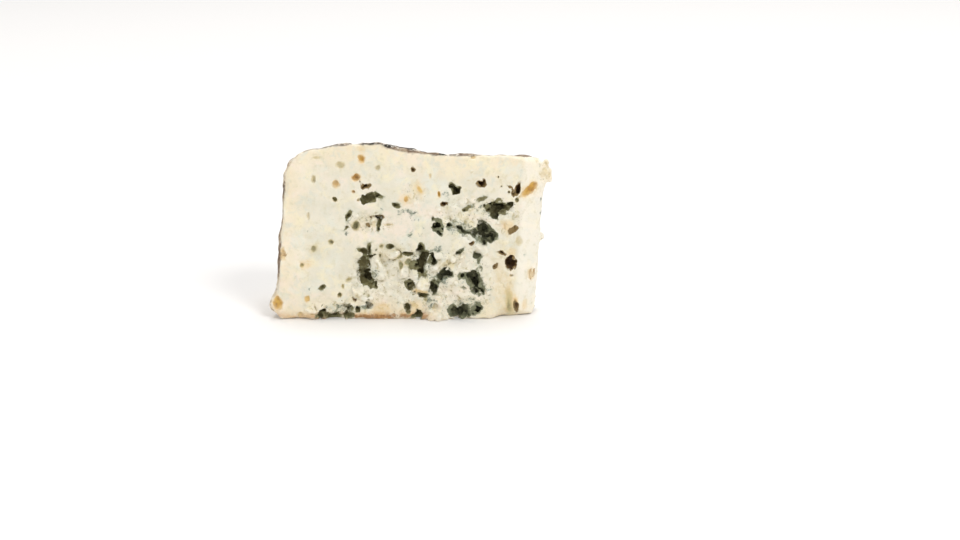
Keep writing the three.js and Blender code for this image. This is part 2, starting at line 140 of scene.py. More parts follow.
# Small olive and yellow eyes, and some painted shade, likewise.
OLIVE = (
    (-24.6, 43.5, 3.8, 4.6, 2, 0.9), (-33.7, 55.5, 2.8, 2, 1.4, 1, -30), (-31, 70.8, 3.8, 3, 0.8, 0.6),
    (-14.3, 69.6, 2.6, 2.4, 0.8, 0.6), (-43.2, 64.4, 2, 3.8, 0.8, 0.6), (-35.8, 35.7, 2.4, 2.4, 1.2, 0.8),
    (-44, 32.6, 2.6, 3.2, 0.9, 0.75), (-44, 32.6, 6, 6, FLUSH, 0.35), (-41.8, 74.2, 4, 1, 0.6, 0.45, 4),
    (28.2, 68, 2.4, 1.3, 0.8, 0.6), (26.6, 64.3, 1.8, 1.4, 0.8, 0.7), (39.9, 65.5, 1.7, 2.1, 0.8, 0.6),
    (40.6, 63.2, 5, 7, 0.2, 0.3), (41.1, 61.3, 2, 1.3, 0.6, 0.55), (49.4, 35.6, 3.4, 4.4, 0.8, 0.5),
    (-32.4, 11.5, 2.8, 2.6, 2, 1), (-28.3, 18.1, 2.6, 1.7, 1.2, 0.8, 35), (-30.9, 15.3, 1.3, 1.8, 1, 0.7),
    (-24.4, 11.9, 1.8, 2.4, 1, 0.7), (-13.1, 33.8, 2.4, 2.2, 1.4, 0.8), (-5.1, 29.9, 3.6, 3.6, 2, 1),
    (-4.2, 24.8, 2.2, 4.8, 2, 0.95, 10), (-0.8, 26.3, 4, 2.8, 2, 1), (7, 9, 1.8, 3, 1, 0.7),
    (53.8, 74.4, 2.2, 1.3, 0.8, 0.6), (57.6, 71.6, 1.6, 1.6, 0.6, 0.4), (60.9, 67.8, 1.6, 1.2, 0.6, 0.5),
    (48.8, 54.7, 1.8, 2.2, 1.4, 0.85), (-23.2, 55.2, 1.8, 2, 1, 0.6), (-9.6, 43.5, 5.2, 0.9, 0.6, 0.5),
    (-45.8, 47.6, 1.3, 4.4, 0.7, 0.35), (-50.3, 1.8, 3.6, 3, 0.8, 0.5), (-49.3, 25.3, 2.2, 1.8, 0.8, 0.7),
    # Painted shade: the flush rows at x 44.8 and x 42.4 below darken the front face beside the facet.
    (46, 20, 2.2, 1.7, 0.8, 0.45), (44.8, 8, 4.2, 15, FLUSH, 0.55, 8), (44.8, 6, 2.4, 8, FLUSH, 0.72, 8),
    (42.4, 27, 10, 24, FLUSH, 0.25, 4), (-9, 31, 16, 9, FLUSH, 0.3), (-19, 45, 13, 8, FLUSH, 0.28),
    # Painted shade: the flush row at x 16.5 below darkens the paste beside a pocket.
    (27, 48, 20, 12, FLUSH, 0.16), (45, 58.6, 1.3, 1.5, 1, 0.7), (16.5, 26, 9, 3.6, FLUSH, 0.5, -8),
    (62.6, 66, 6, 11, FLUSH, 0.26),
)
# Flush blue-grey and green-grey veins: x, z, width, height, how dark they are from 0 to 1, and any tilt.
VEINS = (
    (22, 42.4, 14, 7.4, 0.55, -9), (28.9, 53, 3.8, 4.6, 0.8), (-1.5, 48.8, 8.4, 7, 0.68, -20),
    (2.6, 46.4, 5, 3, 0.4), (0.4, 39.9, 2.4, 6.4, 0.85), (4, 41, 9, 9, 0.18),
    (14.6, 19.8, 7.4, 6.4, 1, -10), (-28.9, 40.2, 2.6, 2.8, 0.9), (-27.2, 46.4, 3, 4, 0.7),
    (-13, 56, 3, 1.2, 0.8), (-45.7, 14.3, 2, 1.1, 0.6), (-54, 15.8, 2, 1.6, 0.4), (36.4, 13.8, 4, 1.2, 0.8),
    (52, 28.4, 1.6, 2, 0.5), (-21.7, 5.2, 7, 2.6, 0.8), (-19.6, 21, 11, 15, 0.5), (24.6, 5.2, 17, 9, 0.5),
    (27, 17, 13, 13, 0.2), (37, 50.6, 15, 9, 0.35, -4), (33.6, 39, 13, 10, 0.45), (5, 26.6, 13, 14, 0.45),
    (-34, 4.4, 20, 6, 0.45), (-20, 45.6, 10, 7, 0.3), (9, 8.6, 5, 6, 0.6, 30), (8.6, 31, 4, 5, 0.4),
    (12.5, 31, 5.4, 6.4, 0.45), (0.5, 49, 1.6, 2.4, 0.5), (33.6, 65.5, 1.6, 1.4, 0.5),
    (-13, 50, 1.2, 4.4, 0.5, -25), (36.6, 38, 6, 5, 0.7), (16.6, 57.6, 3, 5, 0.35),
    (-46, 42, 7, 3, 0.25, 30),
)
# Pale lumps of curd that stand out: x, z and radius.
LUMPS = (
    (-14.6, 25.6, 3.4), (-14, 21, 2.6), (10.6, 23.4, 2.6), (8.4, 23.6, 1.6), (6, 17.4, 2.6), (4.2, 15, 2.2),
    (12.6, 9.6, 2), (9.6, 7.6, 2.8), (14.6, 7.6, 2.4), (9.4, 4.6, 2.2), (13.2, 29.4, 2.4),
    (-7.4, 30.4, 2.2), (-3.4, 22, 2.2), (-24, 12.6, 2.4), (-21, 9.6, 2), (31, 33.4, 2.2), (33.6, 31.8, 1.8),
    (19.6, 15.4, 2.8), (23.6, 12, 2), (-16.6, 45.6, 1.6), (-24.6, 47.4, 1.5), (27.4, 43.4, 1.2),
)
LIP_LUMPS = ((61.6, 68, 2.8), (62.6, 63.4, 2.4))
# Crumbs by the foot: x, how far in front of the face, and radius.
FOOT_CRUMBS = ((11.4, 0.4, 2.4), (13.4, 1.6, 2), (9.6, 1.9, 1.5), (15.4, 0.8, 1.6), (-29, 0.8, 1))

# The other faces have drawn pockets of the same kinds: seed, count, width from and to, depth as a share.
DRAWN = dict(
    green=dict(back=(11, 34, 2, 10, 0.6), tip=(13, 3, 1.5, 3, 0.6)),
    brown=dict(back=(21, 12, 1.5, 5, 0.7)),
    amber=dict(back=(31, 9, 2, 5, 0.2)),
    olive=dict(back=(41, 16, 1.5, 3.2, 0.35), tip=(43, 3, 1.5, 2.5, 0.35)),
    veins=dict(back=(51, 26, 2, 14, 0.8), tip=(53, 4, 2, 5, 0.8)),
)
ACROSS = dict(back=(-46, 50), tip=(-10, -5))  # x from and to on the back, and y on the blunt end
LOWEST_Z, Z_RANGE = 2, 68
LOW_BIAS, SMALL_BIAS = 1.25, 1.8  # powers: above 1, more pockets are low and more pockets and crumbs small
DRAWN_HEIGHT = (0.45, 1.1)  # as a share of the width
DRAWN_DEPTH, LEAST_DEPTH, MOST_TILT = (0.8, 1.5), 0.8, 70
TIP_FROM = 40  # the blunt end's pockets stay beyond this x

POCKET_ROOM = 1.8  # how much of the grid a pocket may reach, in its radii
MIDDLE_DEPTH = 0.12  # how far below the face a pocket's middle lies, as a share of its depth
RAGGED_FROM, RAGGED_DEPTH = 3.8, 5  # narrower and shallower pockets are less ragged
MOULD_RIM = (-0.3, 1)  # how far outside a pocket's wall its mould starts to fade and ends
MOULDY_REACH = 1.5  # how far from a pocket's middle no large crumb sits, in pocket radii
STAIN_RIM, VEIN_RIM = (0.5, 1.5), (0.6, 1.3)  # where stains and veins fade, in radii from their middles
STAIN_DEPTH = 2.5  # the least depth of a pocket's colour
STAIN_RAGGEDNESS = 0.35  # of amber and olive, as a share of the other pockets'
VEIN_DEPTH, DRAWN_VEIN_STRENGTH = 3, 0.5
DEEPEST = 12  # how far behind a face its pockets and stains may colour the paste

# Relief. Broken paste comes apart grain by grain, so grains of two sizes shape the crumbly stretches, and
# others of the same sizes shape the pockets' walls.
WAVES = ((70, 13, 0.45), (71, 5, 0.16))  # seeds, periods and heights of the relief everywhere
CRUMBLE = ((80, 9, 0.35), (81, 2.4, 0.32), (82, 1.3, 0.16))  # and of more of it where the paste crumbled
RIND_RELIEF = (85, 2.2, 0.28)  # and on the rind
MOST_SWING = 1.6  # of the noises, as a share of their usual height
PATCHES = (19, 3)  # period and seed of the noise that makes crumbly stretches on the back
FIRM = (4, 9)  # how far behind a cut face the paste gets too firm to crumble
GRAIN_STEPS = ((90, 3.6, 1.1), (91, 1.7, 0.5))  # seeds and sizes of grains, and how far they step
CRUMBLE_DEPTH, LEAST_CRUMBLY = 3, 0.03  # they do so this near the surface, where it crumbles more than this
CRACK_WIDTH, CRACK_DEPTH, GRAIN_RIM = 0.13, 0.35, 0.35  # between them, as shares of their size and height
GRAIN_PULL = ((60, 3.6, 0.6), (61, 1.7, 0.6))  # seeds, sizes, and how far they draw a pocket's wall
PULL_REACH, PULL_OUTSIDE = 2.2, 3  # where it is drawn: in pocket radii, and how far outside the face
SWAY = ((200, 3.4, 0.55), (201, 1.5, 0.35))  # seeds, periods and widths of what else bends it
SEED_STEP = 10  # from one axis to the next

# Crumbs and lumps.
SCATTERED = {"crumbs": (13, 110, (0.7, 2.4)), "pocket crumbs": (15, 320, (0.4, 0.9))}  # seed, count, radii
SURFACE_DEPTH, IN_POCKET = 0.4, (1.5, 3)  # where they are: how far inside the block
SHELL, LEAST_WEIGHT = 0.6 * CELL, 0.05  # they sit this near the surface, where their weight is above this
LUMP_SEED = 12
LUMP_SUNK, LIP_LUMP_SUNK, FOOT_CRUMB_Z = 0.2, 0.7, 0.6  # behind the face and above the floor, in radii
CRUMB_SIDES = 7
SIDE_REACH, CRUMB_REACH = (0.55, 1.1), 1.25  # of a flat side, and of the ball that bounds a crumb, in radii
CRUMB_ROOM = 1.6  # how much of the grid it may reach, in radii
CRUMB_SUNK = 0.5  # how far its middle lies below the surface, in radii
CRUMB_BLEND = 0.7  # how far it runs into what it sits on
BARE_DEPTH = 0.3  # how far below the surface it still keeps it free of mould
BRIDGE = 0.05  # the field's value where paste that met along an edge is joined


# ---------------- curves and noise
def rise(x, start, end):
    """0 up to start, 1 past end and smooth between them."""
    t = np.clip((x - start) / (end - start), 0, 1)
    return t * t * (3 - 2 * t)


def fall(x, start, end):
    return 1 - rise(x, start, end)


def bell(t):
    return np.exp(-t * t)


def along(points, x):
    """The value at x on the line through (x, value) points."""
    return np.interp(x, [p[0] for p in points], [p[1] for p in points])


class Grid:
    """Points CELL apart that hold the block with a margin round it."""

    def __init__(self, low, high):
        self.low = np.array(low, float)
        self.axes = [np.arange(a, b, CELL) for a, b in zip(low, high)]
        self.shape = tuple(len(axis) for axis in self.axes)
        self.x, self.y, self.z = np.ix_(*self.axes)

    def noise(self, period, seed):
        """Smooth noise with a spread of about 1: a drawn lattice, smoothed by cubic B-splines."""
        weights = []
        for axis in self.axes:
            place = (axis - axis[0]) / period
            first = np.floor(place).astype(int)
            t = place - first
            shares = ((1 - t) ** 3, 3 * t**3 - 6 * t**2 + 4, -3 * t**3 + 3 * t**2 + 3 * t + 1, t**3)
            weight = np.zeros((len(axis), first[-1] + 4), np.float32)
            for step, share in enumerate(shares):
                weight[np.arange(len(axis)), first + step] = share / 6
            weights.append(weight)
        lattice = np.random.default_rng(seed).normal(size=[w.shape[1] for w in weights])
        field = lattice.astype(np.float32)
        for weight in weights:
            field = np.moveaxis(np.tensordot(weight, field, (1, 0)), 0, -1)
        return np.ascontiguousarray(field / field.std())

    def window(self, low, high):
        """Slices of the grid that hold a box."""
        starts = np.clip(np.floor((np.array(low) - self.low) / CELL), 0, None).astype(int)
        stops = np.clip(np.ceil((np.array(high) - self.low) / CELL) + 1, 0, self.shape).astype(int)
        return tuple(slice(a, b) for a, b in zip(starts, stops))

    def points(self, window):
        return np.ix_(*(axis[part] for axis, part in zip(self.axes, window)))

    def points_at(self, spots):
        """The places of cells that are given by their number in the flattened grid."""
        return self.low + CELL * np.stack(np.unravel_index(spots, self.shape), 1)

    def at(self, field, points):
        """The field at any points, by linear interpolation."""
        place = np.clip((points - self.low) / CELL, 0, np.array(self.shape) - 1.001)
        first = place.astype(int)
        t = place - first
        total = np.zeros(len(points))
        for corner in np.ndindex(2, 2, 2):
            share = np.prod([t[:, k] if corner[k] else 1 - t[:, k] for k in range(3)], axis=0)
            total += share * field[tuple((first + corner).T)]
        return total


# Factors and shifts that mix a cell's numbers, the seed and what came before into numbers that look drawn.
CELL_FACTORS, SEED_FACTOR = (374761393, 668265263, 1274126177), 974711
MIXING = ((15, 2246822519), (13, 3266489917))
GRAIN_FACTORS = (7.31, 3.17)


def drawn(cells, seed):
    """Three repeatable numbers from 0 to 1 for each whole-numbered cell."""
    mixed = np.uint32(seed * SEED_FACTOR % 2**32)
    for axis, factor in enumerate(CELL_FACTORS):
        mixed = mixed ^ (cells[:, axis].astype(np.uint32) * np.uint32(factor))
    numbers = []
    for _ in range(3):
        for bits, factor in MIXING:
            mixed = (mixed ^ (mixed >> np.uint32(bits))) * np.uint32(factor)
        numbers.append(mixed / np.float32(2**32))
    return np.stack(numbers, 1)


def grains(points, size, seed):
    """Each point's grain: how far its border is, in grains, the way to its middle, and its own number."""
    places = (points / size).astype(np.float32)
    cells = np.floor(places).astype(np.int32)
    nearest = np.full(len(points), FAR, np.float32)
    second = nearest.copy()
    middle = np.zeros((len(points), 3), np.float32)
    number = np.zeros(len(points), np.float32)
    for step in np.ndindex(3, 3, 3):
        neighbour = cells + np.array(step, np.int32) - 1
        own = drawn(neighbour, seed).astype(np.float32)
        way = neighbour + own - places
        distance = np.sqrt((way * way).sum(1))
        closer = distance < nearest
        second = np.where(closer, nearest, np.minimum(second, distance))
        middle[closer] = way[closer]
        mixed = (own[:, 0] * GRAIN_FACTORS[0] + own[:, 1] * GRAIN_FACTORS[1]) % 1
        number = np.where(closer, mixed, number)
        nearest = np.where(closer, distance, nearest)
    return second - nearest, size * middle, number


def blurred(values, cells):
    """The mean over all cells within so many cells along each axis."""
    width = 2 * cells + 1
    for axis in range(3):
        lined = np.moveaxis(values, axis, 0)
        lined = np.pad(lined, [(cells + 1, cells), (0, 0), (0, 0)], "edge")
        total = np.cumsum(lined, 0, dtype=np.float64)
        values = np.moveaxis((total[width:] - total[:-width]) / width, 0, axis)
    return values


# ---------------- the block
def cut_y(x, z):
    """The front cut, before its foot is undercut towards the tip."""
    return FRONT_Y + z * FRONT_LEAN + TURN_DEPTH * rise(x, TURN_FROM, TIP_X)


def front_y(x, z):
    undercut = UNDERCUT["depth"] * rise(x, *UNDERCUT["x"])
    return cut_y(x, z) + undercut * fall(z, *UNDERCUT["z"])


def distances_inside(x, y, z):
    """How far a point is inside each side of the block, roughly, by the side's name."""
    share = np.clip(z / HEIGHT, 0, HIGHEST_SHARE)
    to_tip = np.clip((x - RIND_X) / (TIP_X - RIND_X), 0, 1)
    thickness = RIND_THICKNESS + (TIP_THICKNESS - RIND_THICKNESS) * to_tip
    back_y = FRONT_Y + thickness - BACK_LEAN * (1 - to_tip) * share

    crest = WHEEL_RADIUS - math.sqrt(WHEEL_RADIUS**2 - RIND_CREST**2)
    arc = WHEEL_RADIUS - np.sqrt(WHEEL_RADIUS**2 - (y - FRONT_Y - RIND_CREST) ** 2) - crest
    behind_rind_edge = y - front_y(RIND_X, z) - BULGE["behind"]
    bulge = bell((z - BULGE["z"]) / BULGE["spread"]) * bell(behind_rind_edge / BULGE["across"])
    rind_x = RIND_X + RIND_LEAN * share**LEAN_POWER + arc - BULGE["reach"] * bulge

    behind = y - cut_y(TIP_X, z)
    corner = TIP_X + TIP_LEAN * share
    lip = bell((z - LIP["z"]) / LIP["spread"]) * rise(behind, *LIP["behind"])
    slope = FACET_WIDTH / FACET_DEPTH
    facet_x = corner - (FACET_DEPTH - behind) * slope

    top_z = along(TOP, x) - along(TOP_FALL, x) * np.maximum(0, y - TOP_EDGE_Y)
    zero = 0 * (x + y + z)
    return {
        "rind": x - rind_x + zero,
        "tip": corner + LIP["reach"] * lip - x + zero,
        "facet": (facet_x + LIP["reach"] * lip - x) / math.hypot(1, slope) + zero,
        "front": y - front_y(x, z) + zero,
        "back": back_y - y + zero,
        "foot": z + zero,
        "top": top_z - z + zero,
    }


def rounded_block(distances, sides=SIDES):
    """The distance inside the block as these sides bound it, with its edges rounded."""
    inside = distances[sides[0]]
    for side in sides[1:]:
        inside = np.minimum(inside, distances[side])
    for edge, radius in EDGE_RADII.items():
        first, second = edge.split("_")
        if first not in sides or second not in sides:
            continue
        a = np.maximum(radius - distances[first], 0)
        b = np.maximum(radius - distances[second], 0)
        rounded = radius - np.sqrt(a * a + b * b)
        inside = np.where((a > 0) & (b > 0), np.minimum(inside, rounded), inside)
    return inside


def crumbliness(x, z, to_front, to_back, to_rind, patches):
    """How crumbly the paste is, from 0 to 1: patches on the front face, drawn ones on the back."""
    front = 0
    for centre_x, centre_z, half_width, half_height in CRUMBLY:
        reach = np.sqrt(((x - centre_x) / half_width) ** 2 + ((z - centre_z) / half_height) ** 2)
        front = np.maximum(front, fall(reach, 0.75, 1.15))
    back = rise(patches, -0.6, 0.7) * rise(to_rind, 8, 22)
    return np.maximum(front * fall(to_front, *FIRM), back * fall(to_back, *FIRM))


# ---------------- pockets
class Pocket:
    """An ellipsoid that opens at one cut face, bent to a ragged shape."""

    def __init__(self, face, centre, width, height, depth, strength=1, tilt=0):
        self.face, self.centre, self.strength = face, centre, strength
        self.radii = width / 2, height / 2, depth
        self.tilt = math.radians(tilt)
        self.raggedness = min(1, min(width, height) / RAGGED_FROM)

    def reach(self, view, shift, least_depth=0):
        """1 on the pocket's wall, less inside it and more outside."""
        across = view[0] - self.centre[0] + self.raggedness * shift[0]
        up = view[1] - self.centre[1] + self.raggedness * shift[1]
        inward = view[2] + self.raggedness * min(1, self.radii[2] / RAGGED_DEPTH) * shift[2]
        cos, sin = math.cos(self.tilt), math.sin(self.tilt)
        u = (across * cos + up * sin) / self.radii[0]
        v = (up * cos - across * sin) / self.radii[1]
        w = inward / max(self.radii[2], least_depth) - MIDDLE_DEPTH
        return np.sqrt(u * u + v * v + w * w)


def face_shift(face, x, y, z):
    """A shift along X, Y and Z in a face's own coordinates: across it, up it and into the paste."""
    if face == "tip":
        return y, z, -x
    return x, z, y if face == "front" else -y


def face_view(face, x, y, z, distances):
    """Places in a face's own coordinates."""
    across, up, _ = face_shift(face, x, y, z)
    if face == "front":
        return across, up, np.minimum(distances["front"], distances["facet"])
    return across, up, distances[face]


def table_pockets(rows, *strength):
    """The front face's pockets. A strength that is given here stands for all rows."""
    return [Pocket("front", row[:2], *row[2:5], *strength, *row[5:]) for row in rows]


def pocket_window(grid, pocket):
    """The part of the grid that a pocket may reach."""
    half = POCKET_ROOM * max(pocket.radii[:2]) + 1
    across, up = pocket.centre
    if pocket.face == "tip":
        return grid.window((TIP_FROM, across - half, up - half), (FAR, across + half, up + half))
    return grid.window((across - half, -FAR, up - half), (across + half, FAR, up + half))


def drawn_pockets(kind):
    """Pockets at drawn places, most of them small and more of them low on the face."""
    pockets = []
    for face, (seed, count, smallest, largest, depth_share) in DRAWN[kind].items():
        rng = np.random.default_rng(seed)
        for _ in range(count):
            across = rng.uniform(*ACROSS[face])
            up = LOWEST_Z + Z_RANGE * rng.uniform() ** LOW_BIAS
            width = smallest + (largest - smallest) * rng.uniform() ** SMALL_BIAS
            height = width * rng.uniform(*DRAWN_HEIGHT)
            depth = depth_share * min(width, height) * rng.uniform(*DRAWN_DEPTH) + LEAST_DEPTH
            tilt = rng.uniform(-MOST_TILT, MOST_TILT)
            pockets.append(Pocket(face, (across, up), width, height, depth, tilt=tilt))
    return pockets


KINDS = {
    "green": table_pockets(GREEN, 1) + drawn_pockets("green"),
    "brown": table_pockets(BROWN, 1) + drawn_pockets("brown"),
    "amber": table_pockets(AMBER) + drawn_pockets("amber"),
    "olive": table_pockets(OLIVE) + drawn_pockets("olive"),
}
for stain in KINDS["amber"] + KINDS["olive"]:
    stain.raggedness *= STAIN_RAGGEDNESS
VEIN_PATCHES = [Pocket("front", row[:2], *row[2:4], VEIN_DEPTH, *row[4:]) for row in VEINS]
for patch in drawn_pockets("veins"):
    patch.strength = DRAWN_VEIN_STRENGTH
    VEIN_PATCHES.append(patch)


def pocket_views(grid, distances, shifts):
    """Each pocket with its part of the grid and how far that part's points reach."""
    for pockets in KINDS.values():
        for pocket in pockets:
            window = pocket_window(grid, pocket)
            near = {side: values[window] for side, values in distances.items()}
            view = face_view(pocket.face, *grid.points(window), near)
            shift = face_shift(pocket.face, *(values[window] for values in shifts))
            yield pocket, window, view[2], pocket.reach(view, shift)


def pocket_shifts(grid, distances):
    """What bends the pockets' walls along each axis: a smooth sway and a pull to the middles of grains."""
    shifts = []
    for axis in range(3):
        sway = [width * grid.noise(period, seed + SEED_STEP * axis) for seed, period, width in SWAY]
        shifts.append(sum(sway))
    close = np.zeros(grid.shape, bool)
    for _, window, inward, reach in pocket_views(grid, distances, shifts):
        close[window] |= (reach < PULL_REACH) & (inward > -PULL_OUTSIDE)
    spots = np.flatnonzero(close)
    points = grid.points_at(spots)
    for seed, size, pull in GRAIN_PULL:
        middle = grains(points, size, seed)[1]
        for axis in range(3):
            shifts[axis].ravel()[spots] += pull * middle[:, axis]
    return shifts


def carve_pockets(grid, field, distances, shifts):
    """Takes every pocket out of the field, and returns where their mould is or comes close."""
    mouldy = np.zeros(grid.shape, bool)
    for pocket, window, _, reach in pocket_views(grid, distances, shifts):
        field[window] = np.minimum(field[window], (reach - 1) * min(pocket.radii))
        mouldy[window] |= reach < MOULDY_REACH
    return mouldy


def add_crumbs(grid, field, bare, centres, radii, bareness, seed):
    """Joins angular lumps to the field, and notes how free of mould they are."""
    rng = np.random.default_rng(seed)
    for centre, radius in zip(centres, radii):
        sides = rng.normal(size=(CRUMB_SIDES, 3))
        sides /= np.linalg.norm(sides, axis=1)[:, None]
        reaches = radius * rng.uniform(*SIDE_REACH, size=CRUMB_SIDES)
        half = CRUMB_ROOM * radius
        window = grid.window(centre - half - CRUMB_BLEND, centre + half + CRUMB_BLEND)
        if 0 in field[window].shape:
            continue
        x, y, z = grid.points(window)
        x, y, z = x - centre[0], y - centre[1], z - centre[2]
        lump = CRUMB_REACH * radius - np.sqrt(x * x + y * y + z * z)
        for side, reach in zip(sides, reaches):
            lump = np.minimum(lump, reach - (side[0] * x + side[1] * y + side[2] * z))
        shown = (lump > -CELL) & (lump > field[window] - BARE_DEPTH)
        bare[window][shown] = bareness
        meeting = np.clip(1 - np.abs(lump - field[window]) / CRUMB_BLEND, 0, 1)
        field[window] = np.maximum(field[window], lump) + meeting * meeting * CRUMB_BLEND / 4


def crumb_spots(grid, field, weight, count, sizes, seed):
    """Drawn middles and radii of crumbs on the field's surface, more of them where the weight is high."""
    rng = np.random.default_rng(seed)
    shell = np.flatnonzero((np.abs(field) < SHELL) & (weight > LEAST_WEIGHT))
    chance = weight.ravel()[shell]
    picked = rng.choice(shell, size=min(count, len(shell)), replace=False, p=chance / chance.sum())
    smallest, largest = sizes
    radii = smallest + (largest - smallest) * rng.uniform(size=len(picked)) ** SMALL_BIAS
    cells = np.clip(np.stack(np.unravel_index(picked, grid.shape), 1), 1, np.array(grid.shape) - 2)
    steps = np.eye(3, dtype=int)
    inward = np.stack([field[tuple((cells + d).T)] - field[tuple((cells - d).T)] for d in steps], 1)
    inward /= np.linalg.norm(inward, axis=1)[:, None] + 1e-6
    return grid.points_at(picked) + CRUMB_SUNK * radii[:, None] * inward, radii


def crumble(grid, field, crumbly):
    """Shifts the field grain by grain where the paste crumbled, with cracks between the grains."""
    spots = np.flatnonzero((np.abs(field) < CRUMBLE_DEPTH) & (crumbly > LEAST_CRUMBLY))
    points = grid.points_at(spots)
    strength = crumbly.ravel()[spots]
    for seed, size, height in GRAIN_STEPS:
        border, _, own = grains(points, size, seed)
        step = (own - 0.5) * rise(border, 0, GRAIN_RIM) - CRACK_DEPTH * bell(border / CRACK_WIDTH)
        field.ravel()[spots] += (height * strength * step).astype(np.float32)


def first_y(grid, field, x, z):
    """Where the paste starts along Y, at x and z."""
    column = field[round((x - grid.low[0]) / CELL), :, round((z - grid.low[2]) / CELL)]
    return grid.axes[1][np.argmax(column > 0)]


def add_lumps(grid, field, bare):
    """The named lumps on the front face and on the lip, and the crumbs by the foot."""
    centres = [(x, front_y(x, z) + LUMP_SUNK * radius, z) for x, z, radius in LUMPS]
    centres += [(x, first_y(grid, field, x, z) + LIP_LUMP_SUNK * radius, z) for x, z, radius in LIP_LUMPS]
    centres += [(x, front_y(x, 0) - before, FOOT_CRUMB_Z * radius) for x, before, radius in FOOT_CRUMBS]
    radii = [row[2] for row in LUMPS + LIP_LUMPS + FOOT_CRUMBS]
    add_crumbs(grid, field, bare, np.array(centres), radii, 1, LUMP_SEED)


def scatter_crumbs(grid, field, bare, block, crumbly, lifted):
    """Small crumbs where the paste crumbled, and in the pockets, where mould covers most of them."""
    for name, weight, bareness in (
        ("crumbs", crumbly**2 * (block < SURFACE_DEPTH), 1),
        ("pocket crumbs", rise(block, *IN_POCKET) * lifted, 0),
    ):
        seed, count, sizes = SCATTERED[name]
        centres, radii = crumb_spots(grid, field, weight, count, sizes, seed)
        add_crumbs(grid, field, bare, centres, radii, bareness, seed + 1)


def cheese_field(grid):
    """The paste as a field that is positive inside, and fields for its colours."""
    distances = distances_inside(grid.x, grid.y, grid.z)
    distances = {side: values.astype(np.float32) for side, values in distances.items()}
    block = rounded_block(distances)
    to_front = np.minimum(distances["front"], distances["facet"])
    to_cut = np.minimum(to_front, distances["back"])
    to_skin = rounded_block(distances, SKIN)
    on_paste = rise(to_skin, 0.6, 3)
    lifted = np.maximum(rise(grid.z, 0.3, 2.5), fall(to_cut, 1, 4))
    patches = grid.noise(*PATCHES)
    crumbly = crumbliness(grid.x, grid.z, to_front, distances["back"], distances["rind"], patches)
    crumbly = (crumbly * np.maximum(on_paste, fall(grid.z, 3, 6)) * lifted).astype(np.float32)

    field = block.copy()
    for seed, period, height in WAVES:
        field += height * lifted * grid.noise(period, seed)
    seed, period, height = RIND_RELIEF
    field += height * (1 - on_paste) * lifted * grid.noise(period, seed)
    crumble(grid, field, crumbly)

    shifts = pocket_shifts(grid, distances)
    mouldy = carve_pockets(grid, field, distances, shifts)
    bare = np.zeros(grid.shape, np.float32)
    add_lumps(grid, field, bare)
    scatter_crumbs(grid, field, bare, block, crumbly * ~mouldy, lifted)
    for seed, period, height in CRUMBLE:
        field += height * crumbly * np.clip(grid.noise(period, seed), -MOST_SWING, MOST_SWING)
    field = np.minimum(field, grid.z + np.zeros(grid.shape, np.float32))
    solid = np.clip(field / CELL + 0.5, 0, 1)
    fields = dict(shifts=shifts, bare=bare, crumbly=crumbly)
    # How hollow each point's surroundings are, finely and broadly: the material paints shade into hollows
    # and highlights onto bumps from these.
    fields["fine_hollow"] = blurred(blurred(solid, 1), 1)
    fields["broad_hollow"] = blurred(blurred(solid, 3), 3)
    return field, fields


# ---------------- from the field to a mesh
def join_at_edges(field):
    """Joins paste that meets along an edge alone, so that every edge of the mesh has two faces."""
    found = True
    while found:
        found = False
        for axis in range(3):
            lined = np.moveaxis(field, axis, 0)
            corners = [lined[:, :-1, :-1], lined[:, :-1, 1:], lined[:, 1:, :-1], lined[:, 1:, 1:]]
            a, b, c, d = (corner > 0 for corner in corners)
            torn = (a == d) & (b == c) & (a != b)
            found = found or torn.any()
            for corner in corners:
                corner[torn] = np.maximum(corner[torn], BRIDGE)


def surface_of(grid, field):
    """Points and quads of the field's zero surface: one point in each cell that it crosses."""
    inside = field > 0
    offsets = list(np.ndindex(2, 2, 2))
    corners = [tuple(slice(c, n - 1 + c) for c, n in zip(offset, grid.shape)) for offset in offsets]
    count = sum(inside[part].astype(np.int8) for part in corners)
    crossed = (count > 0) & (count < 8)
    cells = np.stack(np.nonzero(crossed), 1)
    number = np.full(crossed.shape, -1, np.int32)
    number[crossed] = np.arange(len(cells))

    total = np.zeros((len(cells), 3))
    hits = np.zeros(len(cells))
    values = {offset: field[tuple((cells + offset).T)] for offset in offsets}
    for start in offsets:
        for axis in range(3):
            if start[axis]:
                continue
            end = tuple(c + (k == axis) for k, c in enumerate(start))
            a, b = values[start], values[end]
            hit = (a > 0) != (b > 0)
            t = a[hit] / (a[hit] - b[hit])
            point = np.repeat(np.array(start, float)[None], hit.sum(), 0)
            point[:, axis] += t
            total[hit] += point
            hits[hit] += 1
    points = grid.low + CELL * (cells + total / hits[:, None])

    quads = []
    for axis in range(3):
        across, up = (axis + 1) % 3, (axis + 2) % 3
        low = [slice(1, -1)] * 3
        low[axis] = slice(0, -1)
        high = list(low)
        high[axis] = slice(1, None)
        a, b = inside[tuple(low)], inside[tuple(high)]
        for leaving in (True, False):
            edge = (a & ~b) if leaving else (~a & b)
            start = np.stack(np.nonzero(edge), 1) + 1
            start[:, axis] -= 1
            ring = []
            for da, du in ((-1, -1), (0, -1), (0, 0), (-1, 0)):
                step = start.copy()
                step[:, across] += da
                step[:, up] += du
                ring.append(number[tuple(step.T)])
            quads.append(np.stack(ring if leaving else ring[::-1], 1))
    return points, np.concatenate(quads)


def largest_piece(points, quads):
    """Drops crumbs that touch nothing."""
    label = np.arange(len(points))
    while True:
        lowest = label[quads].min(1)
        before = label.copy()
        for corner in range(4):
            np.minimum.at(label, quads[:, corner], lowest)
        label = label[label]
        if (label == before).all():
            break
    kept = label == np.bincount(label).argmax()
    number = np.cumsum(kept) - 1
    return points[kept], number[quads[kept[quads[:, 0]]]]


